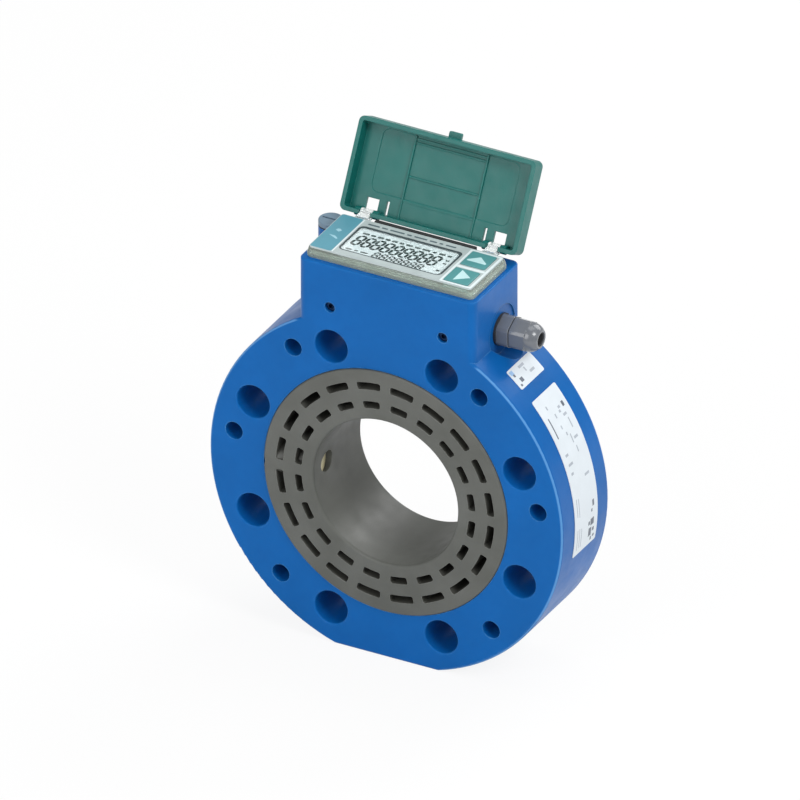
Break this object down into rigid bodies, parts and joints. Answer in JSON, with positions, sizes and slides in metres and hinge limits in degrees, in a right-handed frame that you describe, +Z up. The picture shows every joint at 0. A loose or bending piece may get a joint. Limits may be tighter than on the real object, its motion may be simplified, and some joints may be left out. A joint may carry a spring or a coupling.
{
  "type": "ultrasonic water meter",
  "caption": "Wafer-type ultrasonic water meter: blue ring clamped between pipe flanges, grey flow insert, display head with keys and a hinged lid, cable gland at the side.",
  "frame": {"origin": "on the flow bore axis, halfway through the casting", "axes": "+Z up towards the display head, +Y along the bore from the front face to the back, +X to the cable gland side"},
  "size_m": [0.1963, 0.0752, 0.261],
  "materials": {
    "blue_coat": "satin",
    "black_rubber": "matte",
    "plated_steel": "satin",
    "grey_insert": "satin",
    "transducer_face": "satin",
    "dark_plastic": "matte",
    "lead_sleeve": "matte",
    "gland_grey": "satin",
    "plug_grey": "satin",
    "clear_plastic": "gloss",
    "faceplate_print": "satin",
    "clear_window": "gloss",
    "lcd_glass": "gloss",
    "board_green": "gloss",
    "key_teal": "satin",
    "battery_sleeve": "gloss",
    "teal_cover": "satin",
    "label_white": "satin"
  },
  "bodies": {
    "meter": {"battery": "battery_sleeve", "battery_cradle": "dark_plastic", "blanking_plug": "plug_grey", "blanking_seal": "black_rubber", "board_screws": "plated_steel", "collar_seal": "black_rubber", "connector_strips": "black_rubber", "display_gasket": "black_rubber", "display_housing": "clear_plastic", "faceplate": "faceplate_print", "flow_insert": "grey_insert", "gland_body": "gland_grey", "gland_nut": "gland_grey", "gland_seal": "black_rubber", "gland_washer": "black_rubber", "head_screws": "plated_steel", "housing": "blue_coat", "housing_screws": "plated_steel", "inspection_label": "label_white", "lcd_lens": "clear_window", "lcd_module": "lcd_glass", "lid_stop": "black_rubber", "main_board": "board_green", "rating_label": "label_white", "rear_clamp_ring": "blue_coat", "rear_gasket": "black_rubber", "right_switch": "dark_plastic", "transducer_lead_left": "lead_sleeve", "transducer_lead_right": "lead_sleeve", "transducer_left": "transducer_face", "transducer_retainer_left": "dark_plastic", "transducer_retainer_right": "dark_plastic", "transducer_right": "transducer_face", "transducer_seal_left": "black_rubber", "transducer_seal_right": "black_rubber", "up_switch": "dark_plastic"},
    "cover": {"lid": "teal_cover", "hinge_pins": "plated_steel"},
    "up_button": {"up_key": "key_teal"},
    "right_button": {"right_key": "key_teal"}
  },
  "joints": [
    {"name": "lid_hinge", "type": "hinge", "parent": "meter", "child": "cover", "pos_m": [0, 0.0229, 0.1242], "axis": [1, 0, 0], "range_deg": [0, 118]},
    {"name": "up_key_press", "type": "slide", "parent": "meter", "child": "up_button", "axis": [0, 0, -1], "range_m": [0, 0.0008], "stiffness_N_per_m": 1200},
    {"name": "right_key_press", "type": "slide", "parent": "meter", "child": "right_button", "axis": [0, 0, -1], "range_m": [0, 0.0008], "stiffness_N_per_m": 1200}
  ]
}
